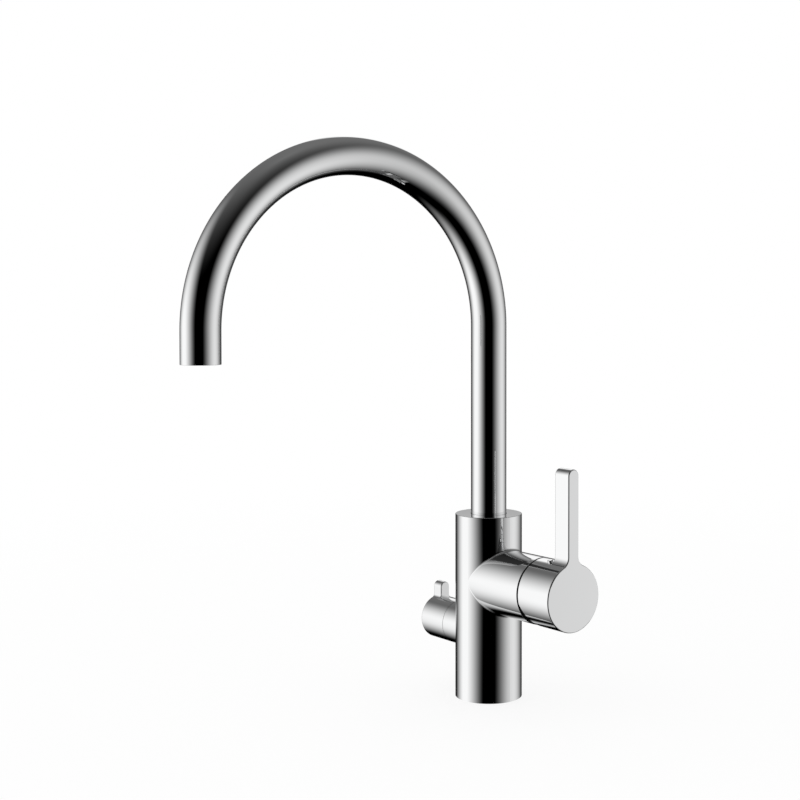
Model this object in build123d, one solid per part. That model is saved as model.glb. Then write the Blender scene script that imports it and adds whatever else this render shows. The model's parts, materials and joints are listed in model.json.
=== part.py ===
from build123d import *
import math
import os

# Three way filtered water tap: hot and cold on the mixer valve, filtered water on a small valve of its own.
# Millimetres, +Z up, origin at the middle of the body's foot. The spout points to -Y, the mixer valve
# sits on +X and the filtered water valve on -X.

os.makedirs("parts", exist_ok=True)

# ---------------------------------------------------------------- driving sizes
# body
BODY_D = 47.0
BODY_H = 129.0
BODY_EDGE = 0.4
STUB_FILLET = 1.6

# spout
TUBE_D = 25.0
TUBE_WALL = 1.2
ARCH_R = 112.5
ARCH_Z = 261.0
OUTLET_LEG = 20.5

# mixer valve, axis along +X
MIXER_Z = 83.0
MIXER_STEP = 0.7
MIXER_FACE_X = 57.3
MIXER_SEAM = 1.2
HANDLE_L = 30.0
HANDLE_WALL = 2.0
HANDLE_CAVITY_L = 8.5
LEVER_TOP = 85.2
LEVER_W = 9.0
LEVER_DEPTH = 13.6
LEVER_NECK_R = 7.0
HANDLE_EDGE = 0.8
SEAM_EDGE = 0.3
RELIEF_DROP = 5.0
RELIEF_DEG = 22.0
TILT_DEG = 20.0

# filtered water valve, axis along -X
FILTER_Z = 46.0
FILTER_D = 30.7
FILTER_FACE_X = 33.5
FILTER_SEAM = 0.3
FILTER_HANDLE_L = 25.6
FILTER_LEVER_TOP = 26.2
FILTER_LEVER_W = 7.6
FILTER_LEVER_DEPTH = 8.8
FILTER_NECK_R = 2.6

# clearances, and how far a cutter reaches past the face that it cuts
FIT = 0.05
SLIDE = 0.3
FILM = 0.02
OVER = 1.0

# screws and inlets: tapping sizes
INLET_R = 4.5
INLET_DEPTH = 12.0
STUD_R = 3.4
STUD_DEPTH = 14.0
M5_R = 2.5
M4_R = 2.0
HEX_KEY = 2.5
KEY_DEPTH = 2.5
SCREW_POINT = 0.5

# water ways inside the body
WAY_R = 3.2
MIXED_WAY_R = 2.8
FILTER_WAY_R = 2.6
HOT_XY = (9.0, -7.5)
COLD_XY = (9.0, 7.5)
FILTER_INLET_X = -12.0
FILTER_FEED_X = -4.0
FILTER_FEED_Z = 24.0
FILTER_RISER_X = -16.0

# spout socket and spigot
SOCKET_R = 11.0
TUBE_SEAT_DEPTH = 5.0
WASHER_T = 1.0
SOCKET_DEPTH = 24.0
SPIGOT_R = 10.55
SPIGOT_BORE_R = 8.0
SPIGOT_IN_TUBE = 20.0
SPIGOT_GAP = 1.5
GROOVE_DEPTH = 1.35
RING_H = 2.4
RING_CUT_W = 0.6
RING_CUT_DEG = 25.0
LOWER_RING_UP = 0.5
UPPER_RING_DOWN = 3.4
SPOUT_O_RINGS_DOWN = (6.0, 9.2)
O_RING_R = 0.8
SWIVEL_DEG = 60.0
STOP_R = 1.3
STOP_Z_DOWN = 18.0
STOP_SCREW_L = 8.5
STOP_RECESS = 3.0

# filtered water tube inside the spout
INNER_R = 4.0
INNER_WALL = 0.9
PORT_R = 3.9
PORT_DEPTH = 6.0
PORT_WAY_R = 2.2
RISER_INSET = 0.7

# outlet
COLLAR_WALL = 1.1
COLLAR_RECESS = 0.4
AERATOR_H = 11.0
AERATOR_WALL = 1.3
AERATOR_RECESS = 0.6
LEDGE_W = 0.9
LEDGE_H = 1.0
NOTCHES = 8
NOTCH_IN = 0.8
NOTCH_W = 1.8
NOTCH_H = 1.2
SCREEN_H = 3.0
SCREEN_RECESS = 1.2
SCREEN_HOLE_R = 0.55
SCREEN_WEB = 0.55
SCREEN_RIM = 0.45
NOZZLE_R = 4.3
NOZZLE_L = 15.0
NOZZLE_RECESS = 0.9
NOZZLE_LIP = 0.8
NOZZLE_FLARE_H = 4.0

# mixer cartridge, 35 mm
CARTRIDGE_D = 35.0
CARTRIDGE_BASE_H = 5.0
PORT_CIRCLE = (7.5, -4.0)
MIXED_PORT_UP = 8.5
SEAL_H = 1.8
SEAL_WALL = 1.2
FIXED_DISC_R = 13.4
FIXED_DISC_H = 4.0
DISC_PORT_R = 2.8
MOVING_DISC_R = 9.5
MOVING_DISC_H = 3.0
HOLLOW_L = 12.4
HOLLOW_W = 6.6
HOLLOW_H = 1.8
CARRIER_H = 7.0
SLEEVE_R = 15.0
SLEEVE_L = 21.5
SLEEVE_OUT = 10.0
NECK_R = 12.8
LIP_H = 2.7
NUT_WALL = 3.3
NUT_THREAD_L = 4.0
NUT_HEX = 32.0
NUT_HEX_H = 3.2
NUT_RECESS = 0.8
SHROUD_GAP = 1.4
SHROUD_H = 4.5
SHROUD_EDGE = 2.6
SHROUD_FLANGE_T = 0.75
SHROUD_FLANGE_IN = 0.15
SPINDLE_W = 8.0
EYE_R = 4.2
PIVOT_RECESS = 1.3
TAIL_R = 2.6
BALL_R = 3.2
PIN_R = 1.5
PIN_L = 21.6
GRUB_L = 10.0
GRUB_TURN_DEG = 12.0
PLUG_L = 6.0
PLUG_OUT = 1.4
PLUG_EDGE = 0.6

# filtered water headwork, half inch
HEAD_R = 10.4
HEAD_DEPTH = 24.5
HEAD_CHAMBER_R = 9.0
HEAD_BORE_R = 8.0
HEAD_TIP_L = 3.0
HEAD_WINDOW_L = 3.4
HEAD_WINDOW_W = 7.0
HEAD_O_RING_IN = 3.6
FILTER_DISC_IN = 0.5
FILTER_DISC_H = 2.8
FILTER_PORT_R = 6.0
FILTER_PORT_WEB = 0.6
FILTER_SEAL_H = 2.0
FILTER_SEAL_R = 9.8
FILTER_SEAL_BORE_R = 5.6
HEAD_HEX = 22.0
HEAD_HEX_H = 4.0
HEAD_NECK_R = 7.0
HEAD_NECK_H = 4.5
FILTER_SPINDLE_R = 3.9
FILTER_SPINDLE_OUT = 9.0
FILTER_O_RINGS_IN = (3.0, 6.0)
FOOT_BAR_W = 5.2
FLAT_OUT = 3.0
FLAT_DEPTH = 0.6
FILTER_CAVITY_R = 13.2
FILTER_GRUB_L = 6.0

# small rings, grooves and steps
CONNECTOR_O_RING_R = 0.6
CONNECTOR_FLANGE_H = 2.0
CONNECTOR_FLANGE_W = 1.0
BARB_L = 6.0
BARB_WALL = 1.1
AERATOR_WASHER_H = 1.5
SHOULDER_H = 2.0
FOOT_CROSS_H = 4.0
SHOULDER_W = 0.6
CLIP_H = 0.8
CLIP_R = 6.0
CLIP_MOUTH = 3.2
CLIP_GROOVE = 0.7
POST_IN_HANDLE = 16.0

# base seal
BASE_SEAL_RIM = 1.7
BASE_SEAL_W = 2.8
BASE_SEAL_H = 2.0

# ---------------------------------------------------------------- sizes that follow
BODY_R = BODY_D / 2
TUBE_R = TUBE_D / 2
TUBE_BORE_R = TUBE_R - TUBE_WALL
SEAL_OUT_R = BODY_R - BASE_SEAL_RIM
SEAL_IN_R = SEAL_OUT_R - BASE_SEAL_W
OUTLET_Z = ARCH_Z - OUTLET_LEG
MIXER_R = BODY_R - MIXER_STEP
FILTER_R = FILTER_D / 2
SOCKET_FLOOR_Z = BODY_H - SOCKET_DEPTH
TUBE_SEAT_Z = BODY_H - TUBE_SEAT_DEPTH
TUBE_FOOT_Z = TUBE_SEAT_Z + WASHER_T
CAP_BACK_X = MIXER_FACE_X + MIXER_SEAM
CAP_FACE_X = CAP_BACK_X + HANDLE_L
CAVITY_R = MIXER_R - HANDLE_WALL
SHROUD_R = CAVITY_R - SHROUD_GAP
NUT_THREAD_R = MIXER_R - NUT_WALL
CAVITY_FLOOR_X = CAP_BACK_X + HANDLE_CAVITY_L
NUT_FACE_X = MIXER_FACE_X - NUT_RECESS
HOUSING_FACE_X = NUT_FACE_X - NUT_HEX_H - NUT_THREAD_L
HOUSING_R = CARTRIDGE_D / 2
SLEEVE_BACK_X = HOUSING_FACE_X + SLEEVE_OUT - SLEEVE_L
CARRIER_BACK_X = SLEEVE_BACK_X - SLIDE - CARRIER_H
MOVING_BACK_X = CARRIER_BACK_X - MOVING_DISC_H
FIXED_BACK_X = MOVING_BACK_X - FILM - FIXED_DISC_H
SEAT_X = FIXED_BACK_X - CARTRIDGE_BASE_H
PIVOT_X = MIXER_FACE_X - PIVOT_RECESS
PIVOT_Z = MIXER_Z - RELIEF_DROP
TILT = math.radians(TILT_DEG)
BALL_X = CARRIER_BACK_X + BALL_R + SLIDE
BALL_ARM = PIVOT_X - BALL_X
BALL_TRAVEL = BALL_ARM * math.sin(TILT) - RELIEF_DROP * (1 - math.cos(TILT))
DISC_REST_Z = MIXER_Z - BALL_TRAVEL / 2
HEAD_FLOOR_X = FILTER_FACE_X - HEAD_DEPTH
FILTER_CAP_BACK_X = FILTER_FACE_X + FILTER_SEAM
FILTER_CAP_FACE_X = FILTER_CAP_BACK_X + FILTER_HANDLE_L
LEVER_BACK_X = CAP_FACE_X - LEVER_DEPTH
GRUB_X = (CAVITY_FLOOR_X + LEVER_BACK_X) / 2
POST_END_X = CAVITY_FLOOR_X + POST_IN_HANDLE

# spout joint, from the socket's floor up
SPIGOT_FOOT_Z = SOCKET_FLOOR_Z + SPIGOT_GAP
LOWER_RING_Z = SPIGOT_FOOT_Z + LOWER_RING_UP
UPPER_RING_Z = TUBE_SEAT_Z - UPPER_RING_DOWN
SPOUT_O_RING_Z = [TUBE_SEAT_Z - down for down in SPOUT_O_RINGS_DOWN]
RING_OUT_R = SOCKET_R - SLIDE
MIXED_RISER_X = SOCKET_R - MIXED_WAY_R - RISER_INSET
GROOVE_FLOOR_R = SPIGOT_R - GROOVE_DEPTH
O_RING_FLOOR_R = RING_OUT_R - 2 * O_RING_R - FIT
CONNECTOR_FOOT_Z = SOCKET_FLOOR_Z - PORT_DEPTH + SLIDE
CONNECTOR_TOP_Z = SOCKET_FLOOR_Z + SLIDE + CONNECTOR_FLANGE_H
CONNECTOR_O_RING_Z = SOCKET_FLOOR_Z - PORT_DEPTH / 2
INNER_BORE_R = INNER_R - INNER_WALL
BARB_BORE_R = INNER_BORE_R - BARB_WALL

# outlet, from the tube's wall inward and from its mouth up
COLLAR_R = TUBE_BORE_R - FIT
COLLAR_BORE_R = COLLAR_R - COLLAR_WALL
AERATOR_R = COLLAR_BORE_R - FIT
AERATOR_BORE_R = AERATOR_R - AERATOR_WALL
AERATOR_FOOT_Z = OUTLET_Z + AERATOR_RECESS
AERATOR_TOP_Z = AERATOR_FOOT_Z + AERATOR_H
SCREEN_Z = AERATOR_FOOT_Z + SCREEN_RECESS
NOZZLE_FOOT_Z = OUTLET_Z + NOZZLE_RECESS

# filtered water headwork: places along its axis, counted from the body's axis outward
T_SEAL = HEAD_FLOOR_X
T_HEAD = T_SEAL + FILTER_SEAL_H
T_FIXED = T_HEAD + FILTER_DISC_IN
T_TURNING = T_FIXED + FILTER_DISC_H + FILM
T_FOOT = T_TURNING + FILTER_DISC_H
T_SHOULDER = T_FOOT + FOOT_CROSS_H
T_HEX = FILTER_FACE_X
T_NECK_END = T_HEX + HEAD_HEX_H + HEAD_NECK_H
T_SPINDLE_END = T_NECK_END + FILTER_SPINDLE_OUT
FILTER_O_RING_T = T_SHOULDER + HEAD_O_RING_IN
SPINDLE_O_RINGS_T = [T_SHOULDER + along for along in FILTER_O_RINGS_IN]
SPINDLE_BORE_R = FILTER_SPINDLE_R + SLIDE
CLIP_T = T_NECK_END + SLIDE
CLIP_FLOOR_R = FILTER_SPINDLE_R - CLIP_GROOVE
FLAT_T = T_NECK_END + FLAT_OUT
FLAT_Z = FILTER_Z - FILTER_SPINDLE_R + FLAT_DEPTH
FILTER_GRUB_T = (FLAT_T + T_SPINDLE_END) / 2


# ---------------------------------------------------------------- helpers
def rod_z(r, z0, z1, x=0.0, y=0.0):
    """Upright cylinder from z0 to z1."""
    return Pos(x, y, z0) * Cylinder(r, z1 - z0, align=(Align.CENTER, Align.CENTER, Align.MIN))


def rod_x(r, x0, x1, y=0.0, z=0.0):
    """Cylinder along X from x0 to x1."""
    return Plane(origin=(x0, y, z), x_dir=(0, 1, 0), z_dir=(1, 0, 0)) * Cylinder(
        r, x1 - x0, align=(Align.CENTER, Align.CENTER, Align.MIN))


def rod_y(r, y0, y1, x=0.0, z=0.0):
    """Cylinder along Y from y0 to y1."""
    return Plane(origin=(x, y0, z), x_dir=(1, 0, 0), z_dir=(0, 1, 0)) * Cylinder(
        r, y1 - y0, align=(Align.CENTER, Align.CENTER, Align.MIN))


def tube_z(ro, ri, z0, z1, x=0.0, y=0.0):
    """Upright ring."""
    return rod_z(ro, z0, z1, x, y) - rod_z(ri, z0, z1, x, y)


def tube_x(ro, ri, x0, x1, y=0.0, z=0.0):
    """Ring along X."""
    return rod_x(ro, x0, x1, y, z) - rod_x(ri, x0, x1, y, z)


def block(x0, x1, y0, y1, z0, z1):
    """Box between two corners."""
    middle = Pos((x0 + x1) / 2, (y0 + y1) / 2, (z0 + z1) / 2)
    return middle * Box(x1 - x0, y1 - y0, z1 - z0)


def o_ring_z(r_mid, z, r=O_RING_R):
    """O-ring that lies flat at height z."""
    return Pos(0, 0, z) * Torus(r_mid, r)


def o_ring_x(r_mid, x, z, r=O_RING_R):
    """O-ring round an axis along X."""
    return Plane(origin=(x, 0, z), x_dir=(0, 1, 0), z_dir=(1, 0, 0)) * Torus(r_mid, r)


def hexagon_x(across, x0, x1, z):
    """Hexagonal bar along X."""
    plane = Plane(origin=(x0, 0, z), x_dir=(0, 1, 0), z_dir=(1, 0, 0))
    return extrude(plane * RegularPolygon(across / 2, 6, major_radius=False), x1 - x0)


def grub_screw_z(r, z_low, length, x, key_up=True):
    """Upright socket grub screw with a cone point, its key socket on top or below."""
    screw = rod_z(r - FIT, z_low, z_low + length, x)
    tip_edge = screw.edges().filter_by(GeomType.CIRCLE).sort_by(Axis.Z)[0 if key_up else -1]
    screw = chamfer(tip_edge, SCREW_POINT)
    key_z = z_low + length - KEY_DEPTH if key_up else z_low
    key = extrude(Plane.XY.offset(key_z) * RegularPolygon(HEX_KEY / 2, 6, major_radius=False), KEY_DEPTH)
    return screw - Pos(x, 0, 0) * key


def near(a, b):
    """True where two places are the same to a hundredth of a millimetre."""
    return abs(a - b) < 0.01


def keyhole(r, w, top, neck_r):
    """Flat outline of a valve cap with its lever: a disc, a straight stem and a round top."""
    stem = Pos(0, (top - w / 2) / 2) * Rectangle(w, top - w / 2)
    outline = Circle(r) + stem + Pos(0, top - w / 2) * Circle(w / 2)
    corner_y = math.sqrt(r * r - w * w / 4)
    corners = [v for v in outline.vertices() if near(v.Y, corner_y)]
    return fillet(corners, neck_r)


def back_rounded(slab):
    """Round the edges round the back face of a lever's slab, which looks along -X."""
    back = slab.faces().sort_by(Axis.X)[0]
    return fillet(back.edges(), HANDLE_EDGE)


# ---------------------------------------------------------------- body
def make_main_body():
    """Brass body with both valve stubs, its water ways and its threaded sockets."""
    column = rod_z(BODY_R, 0, BODY_H)
    stubs = rod_x(MIXER_R, 0, MIXER_FACE_X, z=MIXER_Z) + rod_x(FILTER_R, -FILTER_FACE_X, 0, z=FILTER_Z)
    body = column + stubs
    roots = [e for e in body.edges() if e.geom_type not in (GeomType.LINE, GeomType.CIRCLE)]
    body = fillet(roots, STUB_FILLET)
    rims = body.edges().filter_by(GeomType.CIRCLE)
    top_rim = [e for e in rims if near(e.center().Z, BODY_H)]
    front_rim = [e for e in rims if near(e.center().X, MIXER_FACE_X)]
    body = fillet(top_rim + front_rim, BODY_EDGE)

    # spout socket
    body -= rod_z(TUBE_R + SLIDE, TUBE_SEAT_Z, BODY_H + OVER)
    body -= rod_z(SOCKET_R, SOCKET_FLOOR_Z, TUBE_SEAT_Z + OVER)
    body -= rod_z(PORT_R, SOCKET_FLOOR_Z - PORT_DEPTH, SOCKET_FLOOR_Z + OVER)
    stop_z = BODY_H - STOP_Z_DOWN
    body -= rod_y(M5_R, SOCKET_R - OVER, BODY_R + OVER, z=stop_z)

    # mixer side: cartridge bore and nut thread
    body -= rod_x(HOUSING_R + SLIDE, SEAT_X, MIXER_FACE_X + OVER, z=MIXER_Z)
    body -= rod_x(NUT_THREAD_R + FIT, HOUSING_FACE_X, MIXER_FACE_X + OVER, z=MIXER_Z)

    # filter side: headwork bore
    body -= rod_x(HEAD_R + FIT, -FILTER_FACE_X - OVER, -HEAD_FLOOR_X, z=FILTER_Z)

    # hot and cold ways, from the foot up to the cartridge seat
    port_z = MIXER_Z + PORT_CIRCLE[1]
    for x, y in (HOT_XY, COLD_XY):
        body -= rod_z(INLET_R, -OVER, INLET_DEPTH, x, y)
        body -= rod_z(WAY_R, INLET_DEPTH - OVER, port_z + WAY_R, x, y)
        body -= rod_x(WAY_R, x, SEAT_X + OVER, y, port_z)

    # mixed water way, from the seat to the spout socket
    mixed_z = MIXER_Z + MIXED_PORT_UP
    body -= rod_x(MIXED_WAY_R, MIXED_RISER_X, SEAT_X + OVER, z=mixed_z)
    body -= rod_z(MIXED_WAY_R, mixed_z, SOCKET_FLOOR_Z + OVER, MIXED_RISER_X)

    # filtered water way, foot to headwork, then up to the port in the middle of the socket
    port_floor_z = SOCKET_FLOOR_Z - PORT_DEPTH
    cross_z = port_floor_z - 2 * FILTER_WAY_R
    body -= rod_z(INLET_R, -OVER, INLET_DEPTH, FILTER_INLET_X)
    body -= rod_z(WAY_R, INLET_DEPTH - OVER, FILTER_FEED_Z, FILTER_INLET_X)
    body -= rod_x(WAY_R, FILTER_INLET_X, FILTER_FEED_X, z=FILTER_FEED_Z)
    body -= rod_z(WAY_R, FILTER_FEED_Z, FILTER_Z, FILTER_FEED_X)
    body -= rod_x(WAY_R, -HEAD_FLOOR_X - OVER, FILTER_FEED_X, z=FILTER_Z)
    body -= rod_z(FILTER_WAY_R, FILTER_Z, cross_z, FILTER_RISER_X)
    body -= rod_x(FILTER_WAY_R, FILTER_RISER_X, 0, z=cross_z)
    body -= rod_z(PORT_WAY_R, cross_z, port_floor_z + OVER)

    # stud socket and seal groove in the foot
    body -= rod_z(STUD_R, -OVER, STUD_DEPTH)
    body -= tube_z(SEAL_OUT_R + FIT, SEAL_IN_R - FIT, -OVER, BASE_SEAL_H)
    return body


def make_base_seal():
    return tube_z(SEAL_OUT_R, SEAL_IN_R, 0, BASE_SEAL_H)


def make_spout_stop_screw():
    """Grub screw at the back of the body, whose dog point runs in the spigot's slot."""
    z = BODY_H - STOP_Z_DOWN
    y_out = BODY_R - STOP_RECESS
    y_in = y_out - STOP_SCREW_L
    y_dog = GROOVE_FLOOR_R + SLIDE
    screw = rod_y(M5_R - FIT, y_in, y_out, z=z) + rod_y(STOP_R, y_dog, y_in, z=z)
    plane = Plane(origin=(0, y_out - KEY_DEPTH, z), x_dir=(1, 0, 0), z_dir=(0, 1, 0))
    return screw - extrude(plane * RegularPolygon(HEX_KEY / 2, 6, major_radius=False), KEY_DEPTH)


# ---------------------------------------------------------------- spout
def swan_neck(r_out, r_in, z_foot, z_mouth):
    """Round tube from its foot over the arch to its mouth, with its seam on the arch's inner side."""
    up = Line((0, 0, z_foot), (0, 0, ARCH_Z))
    over = ThreePointArc((0, 0, ARCH_Z), (0, -ARCH_R, ARCH_Z + ARCH_R), (0, -2 * ARCH_R, ARCH_Z))
    down = Line((0, -2 * ARCH_R, ARCH_Z), (0, -2 * ARCH_R, z_mouth))
    section = Plane.XY.offset(z_foot) * Rot(0, 0, -90) * (Circle(r_out) - Circle(r_in))
    return sweep(section, path=up + over + down)


def make_spout_tube():
    return swan_neck(TUBE_R, TUBE_BORE_R, TUBE_FOOT_Z, OUTLET_Z)


def make_spout_spigot():
    """Turned spigot brazed into the tube's foot, with ring grooves and the stop slot."""
    spigot = rod_z(SPIGOT_R, SPIGOT_FOOT_Z, TUBE_FOOT_Z)
    spigot += rod_z(TUBE_BORE_R - FIT, TUBE_FOOT_Z, TUBE_FOOT_Z + SPIGOT_IN_TUBE)
    spigot -= rod_z(SPIGOT_BORE_R, SPIGOT_FOOT_Z - OVER, TUBE_FOOT_Z + SPIGOT_IN_TUBE + OVER)
    for z in (UPPER_RING_Z, LOWER_RING_Z):
        spigot -= tube_z(SPIGOT_R + OVER, GROOVE_FLOOR_R, z - FIT, z + RING_H + FIT)
    for z in SPOUT_O_RING_Z:
        half = O_RING_R + 2 * FIT
        spigot -= tube_z(SPIGOT_R + OVER, O_RING_FLOOR_R, z - half, z + half)
    return spigot - stop_slot()


def stop_slot():
    """Slot at the back of the spigot, as long as the swivel and the dog point need."""
    z = BODY_H - STOP_Z_DOWN
    half_w = STOP_R + SLIDE
    half_deg = SWIVEL_DEG + math.degrees(half_w / GROOVE_FLOOR_R)
    r_out = SPIGOT_R + OVER
    section = Plane.XZ * Pos((GROOVE_FLOOR_R + r_out) / 2, z) * Rectangle(r_out - GROOVE_FLOOR_R, 2 * half_w)
    swept = revolve(section, Axis.Z, 2 * half_deg)
    return Rot(0, 0, 90 - half_deg) * swept


def make_spout_thrust_washer():
    return tube_z(TUBE_R, SPIGOT_R + SLIDE, TUBE_SEAT_Z, TUBE_FOOT_Z)


def make_spout_bearing_rings():
    """Two plain bearing rings, each split by a slanting cut so that it can be sprung on."""
    rings = []
    for z in (UPPER_RING_Z, LOWER_RING_Z):
        ring = tube_z(RING_OUT_R, GROOVE_FLOOR_R + FIT, z, z + RING_H)
        slit = Box(RING_OUT_R, RING_CUT_W, 3 * RING_H)
        cut = Pos(RING_OUT_R, 0, z + RING_H / 2) * Rot(RING_CUT_DEG, 0, 0) * slit
        rings.append(ring - cut)
    return Compound(rings)


def make_spout_o_rings():
    return Compound([o_ring_z(RING_OUT_R - O_RING_R, z) for z in SPOUT_O_RING_Z])


def make_filtered_water_tube():
    """Thin tube all along the inside of the spout, for the filtered water alone."""
    return swan_neck(INNER_R, INNER_BORE_R, CONNECTOR_TOP_Z, NOZZLE_FOOT_Z + NOZZLE_L - BARB_L)


def make_filtered_tube_connector():
    """Turned connector that plugs into the middle port and turns in it with the spout."""
    connector = rod_z(PORT_R - SLIDE, CONNECTOR_FOOT_Z, SOCKET_FLOOR_Z + SLIDE)
    connector += rod_z(PORT_R + CONNECTOR_FLANGE_W, SOCKET_FLOOR_Z + SLIDE, CONNECTOR_TOP_Z)
    connector += rod_z(INNER_BORE_R - FIT, CONNECTOR_TOP_Z, CONNECTOR_TOP_Z + BARB_L)
    half = CONNECTOR_O_RING_R + FIT
    floor_r = PORT_R - SLIDE / 2 - 2 * CONNECTOR_O_RING_R - FIT
    groove = tube_z(PORT_R, floor_r, CONNECTOR_O_RING_Z - half, CONNECTOR_O_RING_Z + half)
    return connector - groove - rod_z(BARB_BORE_R, CONNECTOR_FOOT_Z - OVER, CONNECTOR_TOP_Z + BARB_L + OVER)


def make_connector_o_ring():
    return o_ring_z(PORT_R - SLIDE / 2 - CONNECTOR_O_RING_R, CONNECTOR_O_RING_Z, CONNECTOR_O_RING_R)


# ---------------------------------------------------------------- outlet
def at_outlet(shape):
    """Move a shape from the origin's axis to the axis of the spout's mouth."""
    return Pos(0, -2 * ARCH_R, 0) * shape


def make_outlet_collar():
    """Threaded collar brazed in the tube's mouth, with a shoulder for the aerator's washer."""
    low = OUTLET_Z + COLLAR_RECESS
    shoulder_z = AERATOR_TOP_Z + AERATOR_WASHER_H
    collar = rod_z(COLLAR_R, low, shoulder_z + SHOULDER_H)
    collar -= rod_z(COLLAR_BORE_R, low - OVER, shoulder_z)
    return at_outlet(collar - rod_z(AERATOR_BORE_R - SHOULDER_W, low, shoulder_z + SHOULDER_H + OVER))


def make_aerator_washer():
    z = AERATOR_TOP_Z
    return at_outlet(tube_z(AERATOR_R, AERATOR_BORE_R, z, z + AERATOR_WASHER_H))


def make_aerator_housing():
    """Plastic aerator cup with key notches in its lower rim."""
    ring = tube_z(AERATOR_R, AERATOR_BORE_R, AERATOR_FOOT_Z, AERATOR_TOP_Z)
    ledge_z = SCREEN_Z + SCREEN_H
    ring += tube_z(AERATOR_BORE_R + FIT, AERATOR_BORE_R - LEDGE_W, ledge_z, ledge_z + LEDGE_H)
    notch = Box(2 * NOTCH_IN, NOTCH_W, 2 * NOTCH_H)
    for i in range(NOTCHES):
        ring -= Rot(0, 0, i * 360 / NOTCHES) * Pos(AERATOR_R, 0, AERATOR_FOOT_Z) * notch
    return at_outlet(ring)


def make_flow_straightener():
    """Disc of small holes, with the nozzle's hole in the middle."""
    disc = tube_z(AERATOR_BORE_R - FIT, NOZZLE_R + FIT, SCREEN_Z, SCREEN_Z + SCREEN_H)
    spacing = 2 * SCREEN_HOLE_R + SCREEN_WEB
    first = NOZZLE_R + FIT + SCREEN_HOLE_R + SCREEN_RIM
    last = AERATOR_BORE_R - SCREEN_HOLE_R - SCREEN_RIM
    rows = int((last - first) / spacing) + 1
    holes = []
    for row in range(rows):
        ring_r = first + row * spacing
        count = int(2 * math.pi * ring_r / spacing)
        for i in range(count):
            angle = 2 * math.pi * i / count
            holes.append(rod_z(SCREEN_HOLE_R, SCREEN_Z - OVER, SCREEN_Z + SCREEN_H + OVER,
                               ring_r * math.cos(angle), ring_r * math.sin(angle)))
    return at_outlet(disc - holes)


def make_filtered_water_nozzle():
    """Nozzle in the middle of the aerator, with a barb for the filtered water tube."""
    top = NOZZLE_FOOT_Z + NOZZLE_L
    nozzle = rod_z(NOZZLE_R, NOZZLE_FOOT_Z, top - BARB_L)
    nozzle += rod_z(INNER_BORE_R - FIT, top - BARB_L, top)
    nozzle -= rod_z(BARB_BORE_R, NOZZLE_FOOT_Z - OVER, top + OVER)
    flare = rod_z(NOZZLE_R - NOZZLE_LIP, NOZZLE_FOOT_Z - OVER, NOZZLE_FOOT_Z + NOZZLE_FLARE_H)
    return at_outlet(nozzle - flare)


# ---------------------------------------------------------------- mixer cartridge
def ports(x0, x1, r, z_mid=MIXER_Z):
    """The three port holes of the cartridge, as rods along X."""
    y, z = PORT_CIRCLE
    return [rod_x(r, x0, x1, -y, z_mid + z),
            rod_x(r, x0, x1, y, z_mid + z),
            rod_x(r, x0, x1, 0, z_mid + MIXED_PORT_UP)]


def make_cartridge_base():
    base = rod_x(HOUSING_R, SEAT_X, FIXED_BACK_X, z=MIXER_Z)
    for port in ports(SEAT_X - OVER, FIXED_BACK_X + OVER, WAY_R):
        base -= port
    for recess in ports(SEAT_X - OVER, SEAT_X + SEAL_H, WAY_R + SEAL_WALL + FIT):
        base -= recess
    return base


def make_cartridge_port_seals():
    outer = ports(SEAT_X, SEAT_X + SEAL_H, WAY_R + SEAL_WALL)
    inner = ports(SEAT_X - OVER, SEAT_X + SEAL_H + OVER, WAY_R)
    return Compound([o - i for o, i in zip(outer, inner)])


def make_fixed_disc():
    disc = rod_x(FIXED_DISC_R, FIXED_BACK_X, FIXED_BACK_X + FIXED_DISC_H, z=MIXER_Z)
    for port in ports(FIXED_BACK_X - OVER, MOVING_BACK_X + OVER, DISC_PORT_R):
        disc -= port
    return disc


def make_moving_disc():
    """Upper ceramic disc: its hollow joins the inlet ports to the mixed water port."""
    disc = rod_x(MOVING_DISC_R, MOVING_BACK_X, CARRIER_BACK_X, z=DISC_REST_Z)
    plane = Plane(origin=(MOVING_BACK_X, 0, DISC_REST_Z), x_dir=(0, 1, 0), z_dir=(1, 0, 0))
    return disc - extrude(plane * SlotOverall(HOLLOW_L, HOLLOW_W), HOLLOW_H)


def make_disc_carrier():
    """Plastic carrier behind the moving disc, with the pocket for the spindle's ball."""
    pocket = BALL_R + SLIDE
    carrier = rod_x(MOVING_DISC_R, CARRIER_BACK_X, CARRIER_BACK_X + CARRIER_H, z=DISC_REST_Z)
    return carrier - block(CARRIER_BACK_X - OVER, CARRIER_BACK_X + CARRIER_H + OVER, -pocket, pocket,
                           MIXER_Z - pocket, MIXER_Z + pocket)


def make_cartridge_housing():
    inner_r = SLEEVE_R + SLIDE
    housing = rod_x(HOUSING_R, FIXED_BACK_X, HOUSING_FACE_X, z=MIXER_Z)
    housing -= rod_x(FIXED_DISC_R + FIT, FIXED_BACK_X - OVER, FIXED_BACK_X + FIXED_DISC_H, z=MIXER_Z)
    housing -= rod_x(inner_r, FIXED_BACK_X + FIXED_DISC_H, HOUSING_FACE_X - LIP_H, z=MIXER_Z)
    return housing - rod_x(NECK_R + SLIDE, HOUSING_FACE_X - LIP_H - OVER, HOUSING_FACE_X + OVER, z=MIXER_Z)


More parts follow.
